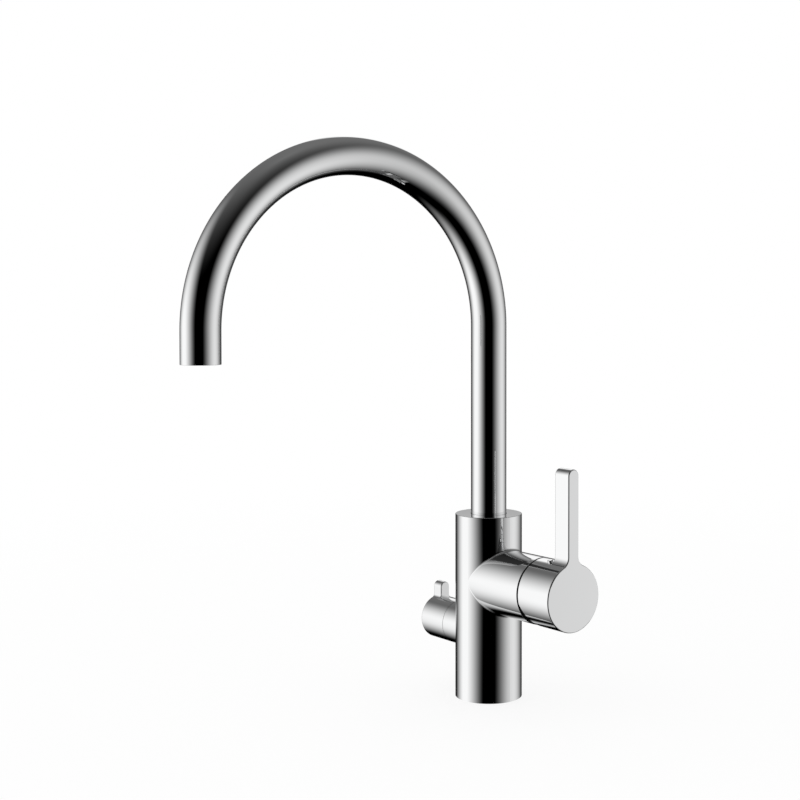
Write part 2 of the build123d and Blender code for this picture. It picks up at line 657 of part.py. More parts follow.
def make_cartridge_sleeve():
    """Turning sleeve: the spindle tilts in its slot, and its pin crosses it."""
    shoulder_x = HOUSING_FACE_X - LIP_H - SLIDE
    sleeve = rod_x(SLEEVE_R, SLEEVE_BACK_X, shoulder_x, z=MIXER_Z)
    sleeve += rod_x(NECK_R, shoulder_x, SLEEVE_BACK_X + SLEEVE_L, z=MIXER_Z)
    half_w = SPINDLE_W / 2 + SLIDE
    low = PIVOT_Z - EYE_R - 2 * SLIDE
    high = MIXER_Z + BALL_TRAVEL + BALL_R + 2 * SLIDE
    sleeve -= block(SLEEVE_BACK_X - OVER, SLEEVE_BACK_X + SLEEVE_L + OVER, -half_w, half_w, low, high)
    return sleeve - rod_y(PIN_R + FIT, -SLEEVE_R, SLEEVE_R, PIVOT_X, PIVOT_Z)


def make_spindle_pin():
    return rod_y(PIN_R, -PIN_L / 2, PIN_L / 2, PIVOT_X, PIVOT_Z)


def make_lever_spindle():
    """Spindle with its eye on the pin, a square post for the handle and a ball in the carrier."""
    half = SPINDLE_W / 2
    post = block(PIVOT_X - half, POST_END_X, -half, half, MIXER_Z - half, MIXER_Z + half)
    eye = rod_y(EYE_R, -half, half, PIVOT_X, PIVOT_Z)
    web = block(PIVOT_X - half, PIVOT_X + half, -half, half, PIVOT_Z, MIXER_Z)
    tail = rod_x(TAIL_R, BALL_X, PIVOT_X, z=MIXER_Z) + Pos(BALL_X, 0, MIXER_Z) * Sphere(BALL_R)
    hole = rod_y(PIN_R + FIT, -half - OVER, half + OVER, PIVOT_X, PIVOT_Z)
    return post + eye + web + tail - hole


def make_cartridge_nut():
    nut = rod_x(NUT_THREAD_R, HOUSING_FACE_X, HOUSING_FACE_X + NUT_THREAD_L, z=MIXER_Z)
    nut += hexagon_x(NUT_HEX, HOUSING_FACE_X + NUT_THREAD_L, NUT_FACE_X, MIXER_Z)
    return nut - rod_x(NECK_R + SLIDE, HOUSING_FACE_X - OVER, NUT_FACE_X + OVER, z=MIXER_Z)


def make_shroud_ring():
    """Dark plastic ring that hides the nut when the lever is tipped; its flange shows in the seam."""
    ring = rod_x(SHROUD_R, NUT_FACE_X, NUT_FACE_X + SHROUD_H, z=MIXER_Z)
    front = ring.edges().filter_by(GeomType.CIRCLE).sort_by(Axis.X)[-1]
    ring = fillet(front, SHROUD_EDGE)
    ring += rod_x(MIXER_R - SHROUD_FLANGE_IN, MIXER_FACE_X, MIXER_FACE_X + SHROUD_FLANGE_T, z=MIXER_Z)
    return ring - rod_x(NECK_R + SLIDE, NUT_FACE_X - OVER, NUT_FACE_X + SHROUD_H + OVER, z=MIXER_Z)


# ---------------------------------------------------------------- mixer handle
def make_mixer_handle():
    """Cap and lever in one piece, flush in front, with the relief that lets it tip."""
    face = Plane(origin=(CAP_FACE_X, 0, MIXER_Z), x_dir=(0, 1, 0), z_dir=(1, 0, 0))
    slab = back_rounded(extrude(face * keyhole(MIXER_R, LEVER_W, LEVER_TOP, LEVER_NECK_R), -LEVER_DEPTH))
    cap = rod_x(MIXER_R, CAP_BACK_X, CAP_FACE_X, z=MIXER_Z)
    cap = fillet(cap.edges().filter_by(GeomType.CIRCLE).sort_by(Axis.X)[0], SEAM_EDGE)
    handle = slab + cap
    front = [e for e in handle.edges() if near(e.center().X, CAP_FACE_X)]
    handle = fillet(front, HANDLE_EDGE)
    handle -= rod_x(CAVITY_R, CAP_BACK_X - OVER, CAVITY_FLOOR_X, z=MIXER_Z)
    half = SPINDLE_W / 2 + FIT
    handle -= block(CAVITY_FLOOR_X - OVER, POST_END_X + SLIDE, -half, half, MIXER_Z - half, MIXER_Z + half)
    handle -= turned_to_front(rod_z(M4_R, 0, MIXER_R + OVER, GRUB_X))
    return handle - relief_wedge()


def relief_wedge():
    """Wedge under a plane that leans away from the seam, below the pivot's height."""
    reach = 2 * MIXER_R
    lean = math.tan(math.radians(RELIEF_DEG)) * reach
    behind_x = CAP_BACK_X - OVER
    low_z = PIVOT_Z - reach
    outline = Polyline((behind_x, PIVOT_Z), (CAP_BACK_X, PIVOT_Z), (CAP_BACK_X + lean, low_z),
                       (behind_x, low_z), close=True)
    flat = make_face(Plane.XZ * outline)
    return extrude(flat, 2 * MIXER_R, both=True)


def turned_to_front(shape):
    """Set an upright shape on the mixer valve's axis and turn it a little to the front."""
    return Pos(0, 0, MIXER_Z) * Rot(GRUB_TURN_DEG, 0, 0) * shape


def make_mixer_handle_screw():
    turn = math.radians(GRUB_TURN_DEG)
    tip = (SPINDLE_W / 2 + FIT + M4_R * math.sin(turn)) / math.cos(turn)
    return turned_to_front(grub_screw_z(M4_R, tip, GRUB_L, GRUB_X))


def make_grub_screw_plug():
    """Push-in plug with a rounded top, which covers the grub screw behind the lever."""
    top = MIXER_R + PLUG_OUT
    plug = rod_z(M4_R - FIT, top - PLUG_L, top, GRUB_X)
    rim = plug.edges().filter_by(GeomType.CIRCLE).sort_by(Axis.Z)[-1]
    return turned_to_front(fillet(rim, PLUG_EDGE))


# ---------------------------------------------------------------- filtered water valve
def from_left(shape):
    """Mirror a shape built along +X to the -X side."""
    return shape.mirror(Plane.YZ)


def make_filter_headwork():
    """Brass headwork: thread, windows for the water, hexagon and neck."""
    head = rod_x(HEAD_R, T_HEAD, T_HEX, z=FILTER_Z)
    head += hexagon_x(HEAD_HEX, T_HEX, T_HEX + HEAD_HEX_H, FILTER_Z)
    head += rod_x(HEAD_NECK_R, T_HEX + HEAD_HEX_H, T_NECK_END, z=FILTER_Z)
    head -= rod_x(HEAD_BORE_R, T_HEAD - OVER, T_SHOULDER, z=FILTER_Z)
    head -= rod_x(SPINDLE_BORE_R, T_SHOULDER - OVER, T_NECK_END + OVER, z=FILTER_Z)
    head -= tube_x(HEAD_R + OVER, HEAD_CHAMBER_R, T_HEAD + HEAD_TIP_L, T_SHOULDER, z=FILTER_Z)
    for turn in (0, 90):
        window = Rot(turn, 0, 0) * Box(HEAD_WINDOW_L, HEAD_WINDOW_W, 4 * HEAD_R)
        head -= Pos((T_FOOT + T_SHOULDER) / 2, 0, FILTER_Z) * window
    half = O_RING_R + FIT
    floor_r = HEAD_R - 2 * O_RING_R
    groove = tube_x(HEAD_R + OVER, floor_r, FILTER_O_RING_T - half, FILTER_O_RING_T + half, z=FILTER_Z)
    return from_left(head - groove)


def make_filter_seat_seal():
    return from_left(tube_x(FILTER_SEAL_R, FILTER_SEAL_BORE_R, T_SEAL, T_HEAD, z=FILTER_Z))


def make_filter_headwork_o_ring():
    return from_left(o_ring_x(HEAD_R - O_RING_R, FILTER_O_RING_T, FILTER_Z))


def quarter_ports(x0, x1, z):
    """Two quarter windows that face each other across a ceramic disc."""
    plane = Plane(origin=(x0, 0, z), x_dir=(0, 1, 0), z_dir=(1, 0, 0))
    middle = FILTER_PORT_R / 2 + FILTER_PORT_WEB
    window = Circle(FILTER_PORT_R) & Pos(middle, middle) * Rectangle(FILTER_PORT_R, FILTER_PORT_R)
    both = window + Rot(0, 0, 180) * window
    return extrude(plane * both, x1 - x0)


def make_filter_fixed_disc():
    disc = rod_x(HEAD_BORE_R - FIT, T_FIXED, T_FIXED + FILTER_DISC_H, z=FILTER_Z)
    return from_left(disc - quarter_ports(T_FIXED - OVER, T_FIXED + FILTER_DISC_H + OVER, FILTER_Z))


def make_filter_turning_disc():
    disc = rod_x(HEAD_BORE_R - SLIDE, T_TURNING, T_FOOT, z=FILTER_Z)
    windows = Rot(90, 0, 0) * quarter_ports(T_TURNING - OVER, T_FOOT + OVER, 0)
    return from_left(disc - Pos(0, 0, FILTER_Z) * windows)


def make_filter_spindle():
    """Spindle with a cross foot on the turning disc and a flat for the grub screw."""
    foot = rod_x(HEAD_BORE_R - SLIDE, T_FOOT, T_SHOULDER - SLIDE, z=FILTER_Z)
    half_w = FOOT_BAR_W / 2
    bar = block(T_FOOT - OVER, T_SHOULDER, -HEAD_BORE_R, HEAD_BORE_R, FILTER_Z - half_w, FILTER_Z + half_w)
    spindle = (foot & bar) + rod_x(FILTER_SPINDLE_R, T_FOOT, T_SPINDLE_END, z=FILTER_Z)
    half = O_RING_R + FIT
    groove_r = SPINDLE_BORE_R - SLIDE / 2 - 2 * O_RING_R - FIT
    for t in SPINDLE_O_RINGS_T:
        spindle -= tube_x(SPINDLE_BORE_R, groove_r, t - half, t + half, z=FILTER_Z)
    spindle -= tube_x(SPINDLE_BORE_R, CLIP_FLOOR_R, CLIP_T - FIT, CLIP_T + CLIP_H + FIT, z=FILTER_Z)
    r = FILTER_SPINDLE_R + OVER
    flat = block(FLAT_T, T_SPINDLE_END + OVER, -r, r, FILTER_Z - r, FLAT_Z)
    return from_left(spindle - flat)


def make_filter_spindle_o_rings():
    r_mid = SPINDLE_BORE_R - SLIDE / 2 - O_RING_R
    return from_left(Compound([o_ring_x(r_mid, t, FILTER_Z) for t in SPINDLE_O_RINGS_T]))


def make_filter_spindle_clip():
    """Open spring clip that keeps the spindle from being pushed in."""
    clip = tube_x(CLIP_R, CLIP_FLOOR_R + FIT, CLIP_T, CLIP_T + CLIP_H, z=FILTER_Z)
    half_w = CLIP_MOUTH / 2
    mouth = block(CLIP_T - OVER, CLIP_T + CLIP_H + OVER, -half_w, half_w, FILTER_Z, FILTER_Z + HEAD_NECK_R)
    return from_left(clip - mouth)


def make_filter_handle():
    """Small cap and lever in one piece, flush at the outer end."""
    face = Plane(origin=(FILTER_CAP_FACE_X, 0, FILTER_Z), x_dir=(0, 1, 0), z_dir=(1, 0, 0))
    outline = keyhole(FILTER_R, FILTER_LEVER_W, FILTER_LEVER_TOP, FILTER_NECK_R)
    slab = back_rounded(extrude(face * outline, -FILTER_LEVER_DEPTH))
    handle = slab + rod_x(FILTER_R, FILTER_CAP_BACK_X, FILTER_CAP_FACE_X, z=FILTER_Z)
    front = [e for e in handle.edges() if near(e.center().X, FILTER_CAP_FACE_X)]
    handle = fillet(front, HANDLE_EDGE)
    hex_end = T_HEX + HEAD_HEX_H + SLIDE
    handle -= rod_x(FILTER_CAVITY_R, FILTER_CAP_BACK_X - OVER, hex_end, z=FILTER_Z)
    handle -= rod_x(HEAD_NECK_R + SLIDE, FILTER_CAP_BACK_X - OVER, CLIP_T + CLIP_H + SLIDE, z=FILTER_Z)
    handle -= rod_x(FILTER_SPINDLE_R + FIT, FILTER_CAP_BACK_X - OVER, T_SPINDLE_END + SLIDE, z=FILTER_Z)
    handle -= rod_z(M4_R, FILTER_Z - FILTER_R - OVER, FILTER_Z, FILTER_GRUB_T)
    return from_left(handle)


def make_filter_handle_screw():
    low = FLAT_Z - FIT - FILTER_GRUB_L
    return from_left(grub_screw_z(M4_R, low, FILTER_GRUB_L, FILTER_GRUB_T, key_up=False))


# ---------------------------------------------------------------- all nodes
NODES = {
    "main_body": make_main_body,
    "base_seal": make_base_seal,
    "spout_stop_screw": make_spout_stop_screw,
    "spout_tube": make_spout_tube,
    "spout_spigot": make_spout_spigot,
    "spout_thrust_washer": make_spout_thrust_washer,
    "spout_bearing_rings": make_spout_bearing_rings,
    "spout_o_rings": make_spout_o_rings,
    "filtered_water_tube": make_filtered_water_tube,
    "filtered_tube_connector": make_filtered_tube_connector,
    "connector_o_ring": make_connector_o_ring,
    "outlet_collar": make_outlet_collar,
    "aerator_washer": make_aerator_washer,
    "aerator_housing": make_aerator_housing,
    "flow_straightener": make_flow_straightener,
    "filtered_water_nozzle": make_filtered_water_nozzle,
    "cartridge_base": make_cartridge_base,
    "cartridge_port_seals": make_cartridge_port_seals,
    "fixed_ceramic_disc": make_fixed_disc,
    "moving_ceramic_disc": make_moving_disc,
    "disc_carrier": make_disc_carrier,
    "cartridge_housing": make_cartridge_housing,
    "cartridge_sleeve": make_cartridge_sleeve,
    "lever_spindle": make_lever_spindle,
    "spindle_pin": make_spindle_pin,
    "cartridge_nut": make_cartridge_nut,
    "shroud_ring": make_shroud_ring,
    "mixer_handle": make_mixer_handle,
    "mixer_handle_screw": make_mixer_handle_screw,
    "grub_screw_plug": make_grub_screw_plug,
    "filter_headwork": make_filter_headwork,
    "filter_seat_seal": make_filter_seat_seal,
    "filter_headwork_o_ring": make_filter_headwork_o_ring,
    "filter_fixed_disc": make_filter_fixed_disc,
    "filter_turning_disc": make_filter_turning_disc,
    "filter_spindle": make_filter_spindle,
    "filter_spindle_o_rings": make_filter_spindle_o_rings,
    "filter_spindle_clip": make_filter_spindle_clip,
    "filter_handle": make_filter_handle,
    "filter_handle_screw": make_filter_handle_screw,
}

for node, make in NODES.items():
    shape = make()
    shape.label = node
    export_step(shape, f"parts/{node}.step")
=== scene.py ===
"""Looks of the three way filtered water tap: plain studio, chrome and the small inner parts that show."""
import json
import math

import bpy
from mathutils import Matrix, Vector

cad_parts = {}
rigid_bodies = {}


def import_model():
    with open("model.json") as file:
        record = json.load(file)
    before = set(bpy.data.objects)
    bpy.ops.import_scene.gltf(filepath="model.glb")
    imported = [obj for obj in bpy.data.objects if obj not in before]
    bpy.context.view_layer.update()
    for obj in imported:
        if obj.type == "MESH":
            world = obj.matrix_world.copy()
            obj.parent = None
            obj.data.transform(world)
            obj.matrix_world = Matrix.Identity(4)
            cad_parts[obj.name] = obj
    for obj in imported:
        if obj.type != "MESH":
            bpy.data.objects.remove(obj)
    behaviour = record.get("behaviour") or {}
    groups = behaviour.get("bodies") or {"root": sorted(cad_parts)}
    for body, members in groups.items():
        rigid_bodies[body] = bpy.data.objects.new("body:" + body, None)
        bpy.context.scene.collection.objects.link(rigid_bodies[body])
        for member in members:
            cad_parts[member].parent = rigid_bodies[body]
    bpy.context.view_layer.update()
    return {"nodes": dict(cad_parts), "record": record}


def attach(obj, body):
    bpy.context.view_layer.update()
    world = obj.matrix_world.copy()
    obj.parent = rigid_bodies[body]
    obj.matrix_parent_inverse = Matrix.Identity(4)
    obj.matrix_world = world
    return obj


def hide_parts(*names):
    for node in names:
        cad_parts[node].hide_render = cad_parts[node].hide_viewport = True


# camera, in the row's frame
CAMERA_PLACE = (0.7684, -0.6265, 0.2808)
CAMERA_TURN_DEG = (88.682, 0.0, 51.56)
CAMERA_SENSOR_MM = 36.0
CAMERA_LENS_MM = 63.34
CAMERA_SHIFT = (-0.0878, -0.0869)
PICTURE_AZIMUTH_DEG = 51.56

# studio, in metres and watts, with light as a share of white
WHITE = (1.0, 1.0, 1.0, 1.0)
BLACK = (0.0, 0.0, 0.0, 1.0)
WORLD_ON_DULL = 0.9
CARDS_R = 6.0
CARDS_MIDDLE = (0.0, 0.0, 0.2)
CARDS_SEGMENTS = 64
CARDS_RINGS = 32
FLOOR_HALF = 2.0
FLOOR_TONES = ((0.985, 0.985, 0.985), (0.995, 0.995, 0.995))
FLOOR_TONE_SCALE = 3.0
FLOOR_GLOW = 0.85
FLOOR_FADE = (0.35, 1.2)
KEY_PLACE = (-0.4, -1.5, 2.2)
KEY_AIM = (0.0, 0.0, 0.15)
KEY_SIZE = 1.6
KEY_WATTS = 5.0

# Soft openings between the cards, in degrees: turn from the picture's side, and rise above the
# horizon. Each is brightest at its middle and fades to nothing at the distances inner and outer.
LEFT_OPENING = {"middle": 91.0, "inner": 72.0, "outer": 62.0, "upper_edge": -5.0, "fade_up": 67.0,
                "low": -78.0, "low_full": -17.0, "strength": 1.05}
RIGHT_OPENING = {"middle": 95.0, "inner": 76.0, "outer": 65.0, "upper_edge": -8.0, "fade_up": 64.0,
                 "low": -78.0, "low_full": -15.0, "strength": 0.765}
BACK_TURN = (166.0, 176.0)
BACK_RISE_IN = (2.0, 16.0)
BACK_RISE_OUT = (38.0, 28.0)
BACK_STRENGTH = 0.85
CEILING_STRENGTH = 0.155
CEILING_FRONT_FROM = 20.0
CEILING_FRONT_SPAN = 68.0
CEILING_FRONT_POWER = 1.5
CEILING_BACK_RISE = (-27.0, 32.0)
CEILING_TURN = (23.0, 179.0)

# chrome plate: faint haze, small dull spots and hairline waviness
CHROME_TONES = ((0.930, 0.935, 0.938), (0.945, 0.948, 0.950))
HAZE_SCALE = 38.0
HAZE_RANGE = (0.35, 0.80)
HAZE_ROUGHNESS = (0.012, 0.032)
SPOT_SCALE = 420.0
SPOT_RANGE = (0.60, 0.78)
SPOT_ROUGHNESS = (0.0, 0.010)
WAVE_SCALE = 26.0
WAVE_STRENGTH = 0.06
WAVE_DEPTH = 0.0002

# grain and tone of the other materials
GRAIN_RANGE = (0.3, 0.7)
GRAIN_DEPTH = 0.0001
METAL_GRAIN_SCALE = 900.0
METAL_TONE_SCALE = 120.0
METAL_BUMP = 0.15
MOULDED_GRAIN_SCALE = 700.0
MOULDED_TONE_SCALE = 90.0
MOULDED_BUMP = 0.2
CERAMIC_GRAIN_SCALE = 300.0
CERAMIC_BUMP = 0.05
PLAIN_GLOSS = 0.5
# low gloss that keeps the seam ring's painted shade dark
SEAM_GLOSS = 0.05

# the ring in the mixer's seam is painted near-black, darker than the outlet's dark plastic: painted shade, so
# that the seam's gap shows as a dark line
SEAM_SHADE_OVERRIDE = {"shroud_ring": "seam_shade_black"}

# spout tube, in metres, and the fineness of its mesh
TUBE_R = 0.0125
TUBE_BORE_R = 0.0113
TUBE_LIP = 0.0002
TUBE_FOOT_Z = 0.125
ARCH_R = 0.1125
ARCH_Z = 0.261
MOUTH_Z = 0.2405
TUBE_SIDES = 112
ARCH_STEPS = 144
BORE_STEPS = 36
LIP_STEPS = 4

# the Mix node's places of its two colours and of their mixture
MIX_COLOUR_A, MIX_COLOUR_B, MIX_COLOUR_OUT = 6, 7, 2


def clear_scene():
    for obj in list(bpy.data.objects):
        bpy.data.objects.remove(obj)


# ---------------------------------------------------------------- node helpers
class Nodes:
    """Short names for the nodes of one material or world."""

    def __init__(self, tree):
        self.tree = tree
        tree.nodes.clear()

    def add(self, kind, **values):
        node = self.tree.nodes.new(kind)
        for name, value in values.items():
            setattr(node, name, value)
        return node

    def link(self, source, target):
        self.tree.links.new(source, target)

    def put(self, value, socket):
        """A number is set, and a socket is linked."""
        if isinstance(value, (int, float)):
            socket.default_value = value
        else:
            self.link(value, socket)

    def math(self, operation, a, b=0.0, clamp=False):
        node = self.add("ShaderNodeMath", operation=operation, use_clamp=clamp)
        self.put(a, node.inputs[0])
        self.put(b, node.inputs[1])
        return node.outputs[0]

    def smooth(self, value, low, high, to_low=0.0, to_high=1.0):
        """Smooth step of a value from low to high."""
        node = self.add("ShaderNodeMapRange", interpolation_type="SMOOTHSTEP")
        self.put(value, node.inputs["Value"])
        node.inputs["From Min"].default_value = low
        node.inputs["From Max"].default_value = high
        node.inputs["To Min"].default_value = to_low
        node.inputs["To Max"].default_value = to_high
        return node.outputs[0]

    def noise(self, vector, scale, detail=3.0, roughness=0.5):
        node = self.add("ShaderNodeTexNoise")
        self.link(vector, node.inputs["Vector"])
        node.inputs["Scale"].default_value = scale
        node.inputs["Detail"].default_value = detail
        node.inputs["Roughness"].default_value = roughness
        return node.outputs["Fac"]

    def tones(self, factor, pair):
        """Colour between the two tones of a pair."""
        node = self.add("ShaderNodeMix", data_type="RGBA")
        self.put(factor, node.inputs[0])
        node.inputs[MIX_COLOUR_A].default_value = (*pair[0], 1.0)
        node.inputs[MIX_COLOUR_B].default_value = (*pair[1], 1.0)
        return node.outputs[MIX_COLOUR_OUT]

    def blend(self, factor, shader_a, shader_b):
        """Mixture of two shaders' outputs."""
        node = self.add("ShaderNodeMixShader")
        self.put(factor, node.inputs[0])
        self.link(shader_a, node.inputs[1])
        self.link(shader_b, node.inputs[2])
        return node.outputs[0]

    def bump(self, height, strength, distance):
        node = self.add("ShaderNodeBump")
        node.inputs["Strength"].default_value = strength
        node.inputs["Distance"].default_value = distance
        self.link(height, node.inputs["Height"])
        return node.outputs["Normal"]

    def surface(self, shader_output):
        output = self.add("ShaderNodeOutputMaterial")
        self.link(shader_output, output.inputs["Surface"])

    def object_place(self):
        return self.add("ShaderNodeTexCoord").outputs["Object"]


def new_material(name):
    material = bpy.data.materials.new(name)
    material.use_nodes = True
    return material, Nodes(material.node_tree)


def principled(nodes, **inputs):
    shader = nodes.add("ShaderNodeBsdfPrincipled")
    for name, value in inputs.items():
        shader.inputs[name.replace("_", " ")].default_value = value
    nodes.surface(shader.outputs[0])
    return shader


# ---------------------------------------------------------------- materials
def chrome():
    """Polished chrome plate: nearly a mirror, with faint wiping haze and hairline waviness."""
    material, nodes = new_material("chrome_plate")
    shader = principled(nodes, Metallic=1.0)
    place = nodes.object_place()
    haze = nodes.noise(place, HAZE_SCALE, detail=5.0, roughness=0.62)
    spots = nodes.noise(place, SPOT_SCALE, detail=2.0)
    nodes.link(nodes.tones(haze, CHROME_TONES), shader.inputs["Base Color"])
    haze_rough = nodes.smooth(haze, *HAZE_RANGE, *HAZE_ROUGHNESS)
    spot_rough = nodes.smooth(spots, *SPOT_RANGE, *SPOT_ROUGHNESS)
    nodes.link(nodes.math("ADD", haze_rough, spot_rough), shader.inputs["Roughness"])
    wave = nodes.noise(place, WAVE_SCALE, detail=1.0)
    nodes.link(nodes.bump(wave, WAVE_STRENGTH, WAVE_DEPTH), shader.inputs["Normal"])
    return material


def turned_metal(name, tones, roughness):
    """Turned metal with fine tool marks."""
    material, nodes = new_material(name)
    shader = principled(nodes, Metallic=1.0)
    place = nodes.object_place()
    grain = nodes.noise(place, METAL_GRAIN_SCALE, detail=2.0)
    tone = nodes.noise(place, METAL_TONE_SCALE, detail=4.0)
    nodes.link(nodes.tones(tone, tones), shader.inputs["Base Color"])
    nodes.link(nodes.smooth(grain, *GRAIN_RANGE, *roughness), shader.inputs["Roughness"])
    nodes.link(nodes.bump(grain, METAL_BUMP, GRAIN_DEPTH), shader.inputs["Normal"])
    return material


def moulded(name, tones, roughness, grain_scale=MOULDED_GRAIN_SCALE, bump=MOULDED_BUMP,
            gloss=PLAIN_GLOSS):
    """Moulded plastic, rubber or ceramic with a fine grain."""
    material, nodes = new_material(name)
    shader = principled(nodes, Specular_IOR_Level=gloss)
    place = nodes.object_place()
    grain = nodes.noise(place, grain_scale, detail=3.0)
    tone = nodes.noise(place, MOULDED_TONE_SCALE, detail=4.0)
    nodes.link(nodes.tones(tone, tones), shader.inputs["Base Color"])
    nodes.link(nodes.smooth(grain, *GRAIN_RANGE, *roughness), shader.inputs["Roughness"])
    nodes.link(nodes.bump(grain, bump, GRAIN_DEPTH), shader.inputs["Normal"])
    return material


def make_materials():
    """One material for each slot of the record, and the near-black painted shade of the seam ring."""
    brass = ((0.62, 0.43, 0.19), (0.76, 0.57, 0.29))
    steel = ((0.47, 0.47, 0.48), (0.60, 0.60, 0.61))
    rubber = ((0.018, 0.018, 0.019), (0.034, 0.034, 0.035))
    acetal = ((0.76, 0.76, 0.72), (0.84, 0.84, 0.80))
    grey = ((0.115, 0.115, 0.122), (0.155, 0.155, 0.162))
    black = ((0.002, 0.002, 0.002), (0.004, 0.004, 0.004))
    milky = ((0.80, 0.82, 0.83), (0.87, 0.89, 0.90))
    ceramic = ((0.86, 0.85, 0.81), (0.91, 0.90, 0.87))
    return {
        "chrome": chrome(),
        "brass": turned_metal("turned_brass", brass, (0.18, 0.34)),
        "steel": turned_metal("stainless_steel", steel, (0.20, 0.36)),
        "rubber": moulded("black_rubber", rubber, (0.55, 0.78)),
        "acetal": moulded("white_acetal", acetal, (0.30, 0.46)),
        "dark_plastic": moulded("dark_grey_plastic", grey, (0.30, 0.45)),
        # painted shade: the seam ring is near-black and barely glossy, so the mixer's seam gap shows as a
        # dark line
        "seam_shade_black": moulded("seam_shade_black", black, (0.60, 0.75), gloss=SEAM_GLOSS),
        "inner_tube": moulded("milky_hose", milky, (0.28, 0.42)),
        "ceramic": moulded("white_ceramic", ceramic, (0.08, 0.16), CERAMIC_GRAIN_SCALE, CERAMIC_BUMP),
    }


def dress(frame, materials):
    """Give every CAD node the material of its slot, or the one that is named for the node itself: the seam
    ring's near-black painted shade.
    """
    slots = {part["node"]: part["material_slot"] for part in frame["record"]["subparts"]}
    slots.update(SEAM_SHADE_OVERRIDE)
    for name, obj in frame["nodes"].items():
        obj.data.materials.clear()
        obj.data.materials.append(materials[slots[name]])


# ---------------------------------------------------------------- spout tube
def tube_path(steps):
    """Places from the tube's foot to where its lip starts: each one's middle, the direction away
    from the arch's middle, and the heading along the tube."""
    up, forward = Vector((0.0, 0.0, 1.0)), Vector((0.0, -1.0, 0.0))
    places = [(Vector((0.0, 0.0, TUBE_FOOT_Z)), -forward, up)]
    for i in range(steps + 1):
        turn = math.pi * i / steps
        away = Vector((0.0, math.cos(turn), math.sin(turn)))
        heading = Vector((0.0, -math.sin(turn), math.cos(turn)))
        places.append((Vector((0.0, -ARCH_R, ARCH_Z)) + ARCH_R * away, away, heading))
    places.append((Vector((0.0, -2 * ARCH_R, MOUTH_Z + TUBE_LIP)), forward, -up))
    return places


def tube_rings():
    """Rings up the outside, round the lip and back through the bore. Each has its place, its radius,
    and the shares of the outward and the forward direction in its normal."""
    outside = [(*place, TUBE_R, 1.0, 0.0) for place in tube_path(ARCH_STEPS)]
    bore = [(*place, TUBE_BORE_R, -1.0, 0.0) for place in tube_path(BORE_STEPS)]
    lip_start, away, heading = outside[-1][:3]
    outer_lip, inner_lip = [], []
    for i in range(1, LIP_STEPS + 1):
        turn = 0.5 * math.pi * i / LIP_STEPS
        out, along = math.cos(turn), math.sin(turn)
        middle = lip_start + TUBE_LIP * along * heading
        inset = TUBE_LIP * (1.0 - out)
        outer_lip.append((middle, away, heading, TUBE_R - inset, out, along))
        inner_lip.append((middle, away, heading, TUBE_BORE_R + inset, -out, along))
    return outside + outer_lip + inner_lip[::-1] + bore[::-1]


def make_spout_tube(material):
    """Fine mesh of the swan neck, with exact normals and a rounded lip, in place of the coarser CAD mesh."""
    rings = tube_rings()
    points, normals, faces = [], [], []
    for middle, away, heading, radius, out, along in rings:
        for side in range(TUBE_SIDES):
            turn = 2 * math.pi * side / TUBE_SIDES
            outward = Vector((math.cos(turn), 0.0, 0.0)) + math.sin(turn) * away
            points.append(middle + radius * outward)
            normals.append((out * outward + along * heading).normalized())
    for ring in range(len(rings)):
        low, high = ring * TUBE_SIDES, (ring + 1) % len(rings) * TUBE_SIDES
        for side in range(TUBE_SIDES):
            beside = (side + 1) % TUBE_SIDES
            faces.append((low + side, low + beside, high + beside, high + side))
    mesh = bpy.data.meshes.new("fine_spout_tube")
    mesh.from_pydata(points, [], faces)
    mesh.polygons.foreach_set("use_smooth", [True] * len(faces))
    mesh.normals_split_custom_set_from_vertices(normals)
    mesh.materials.append(material)
    tube = bpy.data.objects.new("fine_spout_tube", mesh)
    bpy.context.scene.collection.objects.link(tube)
    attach(tube, "spout")
    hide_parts("spout_tube")


# ---------------------------------------------------------------- studio
def make_world():
    """White behind the object and in what metal and clear parts show, and a plain level on dull surfaces."""
    world = bpy.data.worlds.new("studio_world")
    world.use_nodes = True
    bpy.context.scene.world = world
    nodes = Nodes(world.node_tree)
    path = nodes.add("ShaderNodeLightPath")
    seen = nodes.math("MAXIMUM", path.outputs["Is Camera Ray"], path.outputs["Is Glossy Ray"])
    seen = nodes.math("MAXIMUM", seen, path.outputs["Is Transmission Ray"])
    background = nodes.add("ShaderNodeBackground")
    background.inputs["Color"].default_value = WHITE
    nodes.link(nodes.smooth(seen, 0.0, 1.0, WORLD_ON_DULL, 1.0), background.inputs["Strength"])
    output = nodes.add("ShaderNodeOutputWorld")
    nodes.link(background.outputs[0], output.inputs["Surface"])


def only_for(obj, camera=False, glossy=False, diffuse=False, shadow=False):
    """Let only the named kinds of rays see a stage piece."""
    obj.visible_camera = camera
    obj.visible_glossy = glossy
    obj.visible_diffuse = diffuse
    obj.visible_transmission = glossy
    obj.visible_volume_scatter = False
    obj.visible_shadow = shadow


def square(nodes, value):
    return nodes.math("MULTIPLY", value, value)


def side_light(nodes, away, rise, middle, inner, outer, upper_edge, fade_up, low, low_full, strength):
    """Soft light at one side: it falls off round its middle and above its upper edge, and fades below."""
    off_middle = nodes.math("SUBTRACT", away, middle)
    outward = nodes.math("DIVIDE", off_middle, outer)
    inward = nodes.math("DIVIDE", off_middle, -inner)
    across = nodes.math("MAXIMUM", outward, inward)
    above = nodes.math("DIVIDE", nodes.math("SUBTRACT", rise, upper_edge), fade_up)
    above = nodes.math("MAXIMUM", above, 0.0)
    distance = nodes.math("SQRT", nodes.math("ADD", square(nodes, across), square(nodes, above)))
    low_end = nodes.smooth(rise, low, low_full)
    share = nodes.math("MULTIPLY", nodes.smooth(distance, 1.0, 0.0), low_end)
    return nodes.math("MULTIPLY", share, strength)


